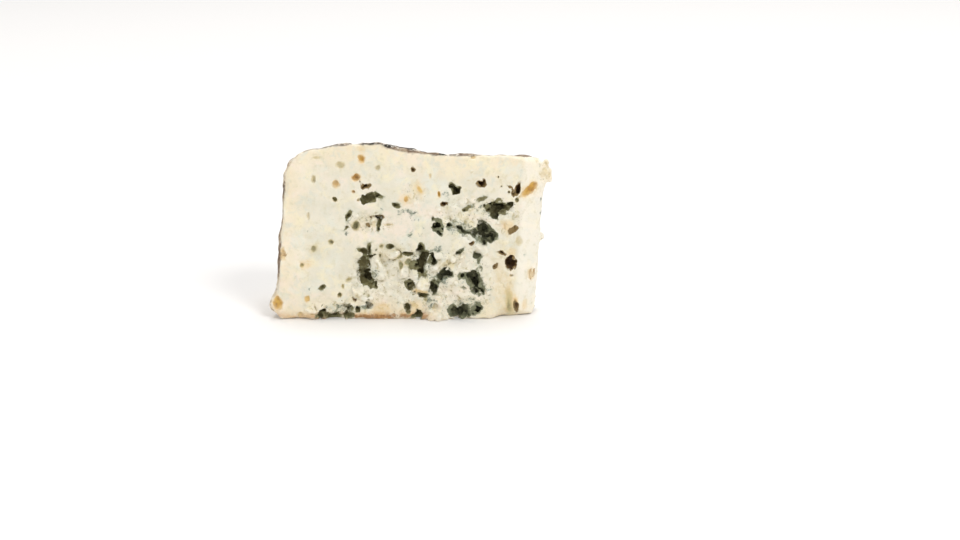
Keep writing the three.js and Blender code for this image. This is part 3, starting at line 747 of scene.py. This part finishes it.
def mesh_of(name, points, quads):
    mesh = bpy.data.meshes.new(name)
    mesh.vertices.add(len(points))
    mesh.vertices.foreach_set("co", (points * METRES).ravel())
    mesh.loops.add(quads.size)
    mesh.loops.foreach_set("vertex_index", quads.ravel())
    mesh.polygons.add(len(quads))
    mesh.polygons.foreach_set("loop_start", np.arange(0, quads.size, 4))
    mesh.update(calc_edges=True)
    return mesh


def thin(obj):
    """Takes triangles out of obj, most of them where it is smooth."""
    decimate = obj.modifiers.new("Thin", "DECIMATE")
    decimate.ratio = MOST_TRIANGLES / (2 * len(obj.data.polygons))
    graph = bpy.context.evaluated_depsgraph_get()
    mesh = bpy.data.meshes.new_from_object(obj.evaluated_get(graph))
    obj.modifiers.clear()
    obj.data = mesh
    mesh.shade_smooth()


def point_array(mesh):
    points = np.empty(3 * len(mesh.vertices))
    mesh.vertices.foreach_get("co", points)
    return points.reshape(-1, 3) / METRES


def paint_masks(grid, mesh, fields):
    """Stores on each point how much it has of what the material colours."""
    points = point_array(mesh)
    x, y, z = points.T
    distances = distances_inside(x, y, z)
    depth = rounded_block(distances)
    shifts = [grid.at(values, points) for values in fields["shifts"]]
    views = {face: face_view(face, x, y, z, distances) for face in ("front", "back", "tip")}

    def amount_of(patches, inner, outer, in_millimetres=False):
        """1 inside the nearest patch and 0 outside it, times the patch's strength."""
        amount = np.zeros(len(points))
        for patch in patches:
            across, up, inward = views[patch.face]
            half = 2 * max(patch.radii[:2]) + 2
            near = (np.abs(across - patch.centre[0]) < half) & (np.abs(up - patch.centre[1]) < half)
            near &= inward < DEEPEST
            view = [place[near] for place in (across, up, inward)]
            shift = face_shift(patch.face, *(values[near] for values in shifts))
            reach = patch.reach(view, shift, STAIN_DEPTH)
            if in_millimetres:
                reach = (reach - 1) * min(patch.radii[:2])
            own = patch.strength * fall(reach, inner, outer)
            amount[near] = np.maximum(amount[near], own)
        return amount

    masks = {kind: amount_of(KINDS[kind], *MOULD_RIM, in_millimetres=True) for kind in ("green", "brown")}
    masks.update({kind: amount_of(KINDS[kind], *STAIN_RIM) for kind in ("amber", "olive")})
    masks["veins"] = amount_of(VEIN_PATCHES, *VEIN_RIM)

    # The rind shows as a line along the top of the front face, thickest about x = -7 and gone by the tip.
    to_skin = rounded_block(distances, SKIN)
    to_cut = np.minimum(np.minimum(distances["front"], distances["back"]), distances["facet"])
    behind_cut = rise(to_cut, 1, 3)
    thickest = 0.9 * bell((x + 7) / 9) * (distances["top"] < 6)
    thinned_by = 0.45 * rise(x, 2, 24) + 0.5 * rise(x, 34, 46)
    thick_rind = np.maximum(thickest, behind_cut) - thinned_by * (1 - behind_cut)

    fine = grid.at(fields["fine_hollow"], points)
    bare = grid.at(fields["bare"], points)
    dark_rind = fall(distances["top"], 0.5, 2.5) * rise(x, -54, -12) * fall(x, -2, 44)
    # How far along x the foot's rind colour and painted contact shade reach.
    rind_and_contact_shade = (0.7 + 0.3 * rise(x, -50, -40)) * fall(x, 8, 16) * (1 - 0.7 * bare)
    upper_corner = rise(z, 56, 68) * fall(x, -50, -40)
    masks.update(
        rind=fall(to_skin + 0.3 * shifts[0] - thick_rind, 0.2, 0.7),
        warmth=fall(to_skin, 1, 16),
        # sunk: depth behind the block's surface, which darkens the mould as painted shade
        sunk=rise(depth, 0.3, 3),
        # crevice: fine hollows, where the material puts olive mould and painted shade
        crevice=rise(fine, 0.53, 0.72),
        # raised: bumps, which the material lightens as painted highlights on crumbs and mould
        raised=rise(0.5 - fine, 0.03, 0.16),
        # shaded: broad hollows, which darken the mould as painted shade
        shaded=rise(grid.at(fields["broad_hollow"], points), 0.52, 0.75),
        bare=bare,
        crumbly=grid.at(fields["crumbly"], points),
        dark_rind=dark_rind * (1 - 0.45 * rise(distances["front"], 5, 18)),
        # foot: the band along the bottom, partly rind and partly painted contact shade and shadow
        foot=fall(distances["foot"], 1.6, 4.4) * rind_and_contact_shade,
        pale_rind=np.maximum(fall(z, 4, 34), upper_corner),
        teal=rise(x, 4, 14) * fall(z, 45, 50),
        # facet: the blunt end's facet, which the material whitens as painted light
        facet=rise(distances["front"] - distances["facet"], -0.5, 0.8),
    )
    for name, values in masks.items():
        layer = mesh.attributes.new(name, "FLOAT", "POINT")
        layer.data.foreach_set("value", np.clip(values, 0, 1).astype(np.float32))


# ---------------- materials
class Nodes:
    """Adds shader nodes to a material and links them."""

    def __init__(self, name):
        self.material = bpy.data.materials.new(name)
        self.material.use_nodes = True
        self.tree = self.material.node_tree
        self.tree.nodes.clear()

    def add(self, kind, settings=None, **inputs):
        node = self.tree.nodes.new("ShaderNode" + kind)
        for key, value in (settings or {}).items():
            setattr(node, key, value)
        for key, value in inputs.items():
            socket = node.inputs[int(key[1:])] if key[1:].isdigit() else node.inputs[key.replace("_", " ")]
            if isinstance(value, bpy.types.NodeSocket):
                self.tree.links.new(value, socket)
            else:
                socket.default_value = value
        return node

    def value(self, operation, first, second, clamp=False):
        settings = dict(operation=operation, use_clamp=clamp)
        return self.add("Math", settings, i0=first, i1=second).outputs[0]

    def times(self, first, *factors):
        for factor in factors:
            first = self.value("MULTIPLY", first, factor)
        return first

    def plus(self, first, second):
        return self.value("ADD", first, second)

    def minus(self, first, second):
        return self.value("SUBTRACT", first, second)

    def ramp(self, factor, *stops):
        """A colour ramp through (place, colour) stops, with colours from 0 to 255."""
        node = self.add("ValToRGB", i0=factor)
        elements = node.color_ramp.elements
        while len(elements) > 1:
            elements.remove(elements[0])
        for index, (place, colour) in enumerate(stops):
            element = elements[0] if index == 0 else elements.new(place)
            element.position = place
            element.color = rgba(*colour)
        return node.outputs[0]

    def step(self, value, start, end):
        """0 up to start and 1 past end."""
        settings = dict(interpolation_type="SMOOTHSTEP")
        return self.add("MapRange", settings, i0=value, i1=start, i2=end).outputs[0]

    def mix(self, factor, first, second):
        return self.add("Mix", dict(data_type="RGBA"), i0=factor, i6=first, i7=second).outputs[2]

    def over(self, colour, other, *amounts):
        """A colour with another over it, as much as the amounts say when multiplied."""
        other = rgba(*other) if isinstance(other, tuple) else other
        return self.mix(self.times(*amounts), colour, other)

    def noise(self, per_metre, detail, roughness, distortion=0.0, shift=0.0):
        """Noise of so many waves per metre. Its shift keeps it from matching another."""
        place = self.add("TexCoord").outputs["Object"]
        if shift:
            aside = (shift, 2 * shift, -shift)
            place = self.add("VectorMath", dict(operation="ADD"), i0=place, i1=aside).outputs[0]
        inputs = dict(Scale=per_metre, Detail=detail, Roughness=roughness, Distortion=distortion)
        return self.add("TexNoise", Vector=place, **inputs).outputs["Fac"]

    def mask(self, name):
        return self.add("Attribute", dict(attribute_name=name)).outputs["Fac"]


def rgba(*levels):
    """A colour from its usual 0 to 255 values."""
    return (*(((level / 255 + 0.055) / 1.055) ** 2.4 for level in levels), 1)


class CheeseNodes(Nodes):
    """The cheese's nodes, with the noises that they share."""

    def __init__(self):
        super().__init__("cheese")
        self.coarse = self.noise(90, 4, 0.6)
        self.medium = self.noise(330, 4, 0.6, 0.3, 3.1)
        self.fine = self.noise(1100, 3, 0.6, 0.0, 7.7)
        mixed = self.plus(self.times(self.medium, 0.6), self.times(self.fine, 0.4))
        self.ragged = self.minus(mixed, 0.5)

    def torn(self, mask, strength, start, end):
        """A mask with a ragged edge."""
        return self.step(self.plus(mask, self.times(self.ragged, strength)), start, end)

    def paste(self):
        """Cooler and greyer in the middle, warmer by the rind, and faintly mottled."""
        grey, ivory, pale = (221, 216, 197), (227, 221, 202), (233, 226, 208)
        cool = self.ramp(self.coarse, (0.3, grey), (0.5, ivory), (0.7, pale))
        warm = self.ramp(self.coarse, (0.3, (234, 220, 191)), (0.7, (240, 228, 202)))
        colour = self.mix(self.mask("warmth"), cool, warm)
        tints = ((244, 228, 212), (226, 227, 214), (240, 230, 196), (215, 215, 200))
        for number, (scale, tint) in enumerate(zip((75, 90, 120, 210), tints)):
            patches = self.step(self.noise(scale, 3, 0.6, 0.4, 1.3 + 2 * number), 0.5, 0.7)
            colour = self.over(colour, tint, patches, 0.65)
        # Painted light: the facet, turned towards the lamps, is whitened as if more brightly lit.
        colour = self.over(colour, (249, 243, 230), self.mask("facet"), 0.5)
        colour = self.over(colour, (218, 210, 178), self.step(self.medium, 0.5, 0.75), 0.4)
        colour = self.over(colour, (247, 242, 230), self.step(self.fine, 0.55, 0.8), 0.35)
        # Painted highlight: raised crumbs are lightened as if their tops caught the light.
        colour = self.over(colour, (246, 240, 224), self.mask("raised"), 0.6)
        # Olive mould and painted shade in the crevices between crumbs.
        shade = self.times(self.mask("crumbly"), self.torn(self.mask("crevice"), 0.8, 0.1, 0.9))
        return self.over(colour, (160, 149, 104), shade, 0.7)

    def veined(self, colour):
        """Soft blotches and specks of flush mould."""
        veins = self.mask("veins")
        blotches = self.noise(420, 6, 0.72, 0.4, 9.1)
        amount = self.step(self.plus(blotches, self.times(veins, 0.27)), 0.6, 0.71)
        amount = self.times(self.step(veins, 0.02, 0.3), amount, 0.9)
        wash = self.times(veins, self.step(self.medium, 0.3, 0.6), 0.75)
        colour = self.mix(wash, colour, rgba(186, 194, 175))
        dark = self.ramp(self.fine, (0.3, (76, 86, 72)), (0.7, (148, 155, 136)))
        colour = self.mix(amount, colour, dark)
        specks = self.step(self.noise(760, 4, 0.7, 0.6, 6.2), 0.59, 0.68)
        spread = self.plus(self.times(self.mask("crumbly"), 0.75), 0.1)
        colour = self.over(colour, (122, 115, 78), specks, spread)
        smears = self.step(self.noise(380, 5, 0.7, 0.8, 2.4), 0.55, 0.66)
        smears = self.times(smears, self.mask("crumbly"), self.minus(1.0, self.mask("raised")))
        return self.over(colour, (180, 165, 112), smears, 0.65)

    def stained(self, colour):
        """Amber stains and olive eyes, darker where strong, some painted shade, and the cut faces' foot."""
        # The amber and olive masks also hold flush rows of painted shade beside the facet and beside a
        # pocket.
        amber = self.mask("amber")
        deep = self.ramp(self.medium, (0.32, (154, 104, 0)), (0.5, (198, 146, 14)), (0.68, (222, 180, 62)))
        own = self.mix(self.step(amber, 0.4, 1), rgba(232, 203, 146), deep)
        colour = self.over(colour, own, self.torn(amber, 0.8, 0.0, 0.8), 0.9)
        olive = self.mask("olive")
        deep = self.ramp(self.medium, (0.35, (88, 84, 50)), (0.65, (156, 150, 104)))
        own = self.mix(self.step(olive, 0.4, 0.9), rgba(206, 190, 144), deep)
        colour = self.over(colour, own, self.torn(olive, 0.8, 0.0, 0.75), 0.9)
        # The foot: a tan band, partly the bottom rind and partly painted contact shade.
        foot = self.mask("foot")
        tan = self.ramp(self.medium, (0.35, (166, 114, 58)), (0.6, (222, 176, 108)))
        colour = self.over(colour, tan, foot, self.step(self.coarse, 0.32, 0.5), 0.85)
        # Painted contact shadow: a dark brown line along the very foot.
        brown = self.ramp(self.medium, (0.35, (94, 58, 26)), (0.65, (156, 108, 58)))
        return self.over(colour, brown, self.torn(foot, 1.8, 0.75, 1.1), 0.85)

    def with_rind(self, colour, rind):
        brown = self.ramp(self.medium, (0.3, (84, 68, 56)), (0.48, (128, 108, 88)), (0.64, (182, 164, 140)))
        ivory = self.ramp(self.medium, (0.3, (190, 170, 138)), (0.6, (238, 228, 208)))
        worn = self.times(self.minus(self.noise(140, 4, 0.65, 0.5, 3.7), 0.5), 2.5)
        pale = self.mix(self.step(self.plus(self.mask("pale_rind"), worn), 0.3, 0.8), brown, ivory)
        grain = self.noise(420, 3, 0.6, 0.0, 4.4)
        black, grey = (0.44, (38, 34, 31)), (0.5, (74, 68, 60))
        dark = self.ramp(grain, black, grey, (0.54, (150, 142, 130)), (0.59, (232, 226, 214)))
        patches = self.times(self.minus(self.noise(60, 3, 0.6, 0.8, 8.2), 0.53), 3.6)
        share = self.step(self.plus(self.mask("dark_rind"), patches), 0.3, 0.8)
        own = self.mix(share, pale, dark)
        bloom = self.step(self.noise(70, 4, 0.65, 0.4, 6.9), 0.5, 0.66)
        own = self.over(own, (208, 198, 182), bloom, 0.4)
        stains = self.step(self.noise(160, 3, 0.6, 0.5, 5.3), 0.58, 0.7)
        own = self.over(own, (128, 92, 62), stains, 0.7)
        return self.mix(rind, colour, own)

    def mouldy(self, colour, brown, green):
        """Mould on the pockets' walls, paler and greyer at their rims, with painted shade deeper in."""
        # The ramps darken the mould with depth and in broad hollows: painted shade.
        depth = self.plus(self.mask("sunk"), self.times(self.ragged, 0.9))
        depth = self.plus(depth, self.times(self.mask("shaded"), 0.3))
        own = self.ramp(depth, (0.0, (132, 110, 68)), (0.25, (92, 69, 38)), (0.7, (74, 51, 25)))
        colour = self.mix(brown, colour, own)
        levels = (0.0, 0.2, 0.5, 0.9)
        olives = (124, 118, 82), (108, 102, 67), (102, 96, 60), (94, 87, 53)
        teals = (120, 122, 97), (102, 104, 78), (92, 94, 70), (85, 86, 63)
        olive, teal = (self.ramp(depth, *zip(levels, colours)) for colours in (olives, teals))
        own = self.mix(self.mask("teal"), olive, teal)
        # Painted highlight: raised mould is lightened.
        own = self.over(own, (128, 130, 100), self.mask("raised"), 0.4)
        own = self.over(own, (142, 138, 104), self.step(self.medium, 0.5, 0.66), 0.45)
        own = self.over(own, (56, 54, 38), self.step(self.fine, 0.52, 0.7), 0.5)
        return self.mix(green, colour, own)


def cheese_material():
    nodes = CheeseNodes()
    rind = nodes.mask("rind")
    covered = nodes.minus(1.0, nodes.mask("bare"))
    brown = nodes.times(nodes.torn(nodes.mask("brown"), 0.8, 0.3, 0.7), covered)
    green = nodes.mask("green")
    halo = nodes.times(nodes.torn(green, 1.3, 0.0, 0.6), covered, 0.5)
    green = nodes.times(nodes.torn(green, 0.9, 0.3, 0.65), covered)

    colour = nodes.veined(nodes.paste())
    colour = nodes.stained(colour)
    colour = nodes.with_rind(colour, rind)
    colour = nodes.mix(halo, colour, rgba(168, 172, 148))
    colour = nodes.mouldy(colour, brown, green)

    # Fine grain. The mould and the rind are drier than the paste.
    dry = nodes.value("MAXIMUM", rind, green)
    roughness = nodes.add("MapRange", i0=nodes.fine, i1=0.3, i2=0.7, i3=0.42, i4=0.6).outputs[0]
    roughness = nodes.value("ADD", roughness, nodes.times(dry, 0.3), clamp=True)
    relief = nodes.plus(nodes.times(nodes.fine, 0.5), nodes.times(nodes.medium, 0.9))
    bump = nodes.add("Bump", Strength=0.5, Distance=0.0005, Height=relief)
    shader = nodes.add(
        "BsdfPrincipled",
        Base_Color=colour,
        Roughness=roughness,
        Normal=bump.outputs[0],
        Subsurface_Weight=0.12,
        Subsurface_Radius=(1.0, 0.85, 0.6),
        Subsurface_Scale=0.0012,
        Specular_IOR_Level=0.35,
    )
    nodes.add("OutputMaterial", Surface=shader.outputs[0])
    return nodes.material


def floor_material():
    nodes = Nodes("floor")
    colour = rgba(244, 242, 240)
    shader = nodes.add("BsdfPrincipled", Base_Color=colour, Roughness=0.7, Specular_IOR_Level=0.2)
    nodes.add("OutputMaterial", Surface=shader.outputs[0])
    return nodes.material


# ---------------- the scene
FLOOR_WIDTH = 8.0  # in metres
LENS, SENSOR_WIDTH, CLIP_START = 60, 36, 0.01
CAMERA_ELEVATION, CAMERA_DISTANCE, CAMERA_TARGET = math.radians(16), 727, (31.8, -23, 23.6)
# Lamps: place and diameter in metres, and watts.
LAMPS = dict(
    key=((1.7, -1.8, 2.3), 1.3, 48), fill=((-2.2, -1.7, 1.3), 1.6, 20), top=((0.2, 0.9, 3.0), 2.4, 60)
)
LIT_PLACE = (0, 0, 0.04)
WORLD_STRENGTH = 0.4


def put_in_scene(name, data):
    obj = bpy.data.objects.new(name, data)
    bpy.context.scene.collection.objects.link(obj)
    return obj


def make_cheese():
    grid = Grid(GRID_LOW, GRID_HIGH)
    field, fields = cheese_field(grid)
    join_at_edges(field)
    points, quads = largest_piece(*surface_of(grid, field))
    obj = put_in_scene("cheese_wedge", mesh_of("cheese_wedge", points, quads))
    thin(obj)
    paint_masks(grid, obj.data, fields)
    obj.data.materials.append(cheese_material())
    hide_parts("cheese")
    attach(obj, "root")


def make_floor():
    half = FLOOR_WIDTH / 2
    corners = [(-half, -half, 0), (half, -half, 0), (half, half, 0), (-half, half, 0)]
    mesh = bpy.data.meshes.new("floor")
    mesh.from_pydata(corners, [], [(0, 1, 2, 3)])
    mesh.materials.append(floor_material())
    floor = put_in_scene("floor", mesh)


def turned_to(way):
    """The turn of a camera or lamp that looks that way."""
    return way.to_track_quat("-Z", "Y").to_euler()


def make_camera():
    """Looks down at the front face, from a little to the tip's side."""
    camera = put_in_scene("camera", bpy.data.cameras.new("camera"))
    camera.data.lens = LENS
    camera.data.sensor_width = SENSOR_WIDTH
    camera.data.clip_start = CLIP_START
    forward = Vector((0, math.cos(CAMERA_ELEVATION), -math.sin(CAMERA_ELEVATION)))
    camera.location = (Vector(CAMERA_TARGET) - CAMERA_DISTANCE * forward) * METRES
    camera.rotation_euler = turned_to(forward)
    bpy.context.scene.camera = camera


def make_light():
    for name, (place, size, watts) in LAMPS.items():
        light = bpy.data.lights.new(name, "AREA")
        light.shape = "DISK"
        light.size = size
        light.energy = watts
        lamp = put_in_scene(name, light)
        lamp.location = place
        lamp.rotation_euler = turned_to(Vector(LIT_PLACE) - Vector(place))
    world = bpy.data.worlds.new("studio")
    bpy.context.scene.world = world
    world.use_nodes = True
    background = world.node_tree.nodes["Background"]
    background.inputs["Color"].default_value = (1, 1, 1, 1)
    background.inputs["Strength"].default_value = WORLD_STRENGTH
    bpy.context.scene.view_settings.view_transform = "Standard"


make_cheese()
make_floor()
make_camera()
make_light()
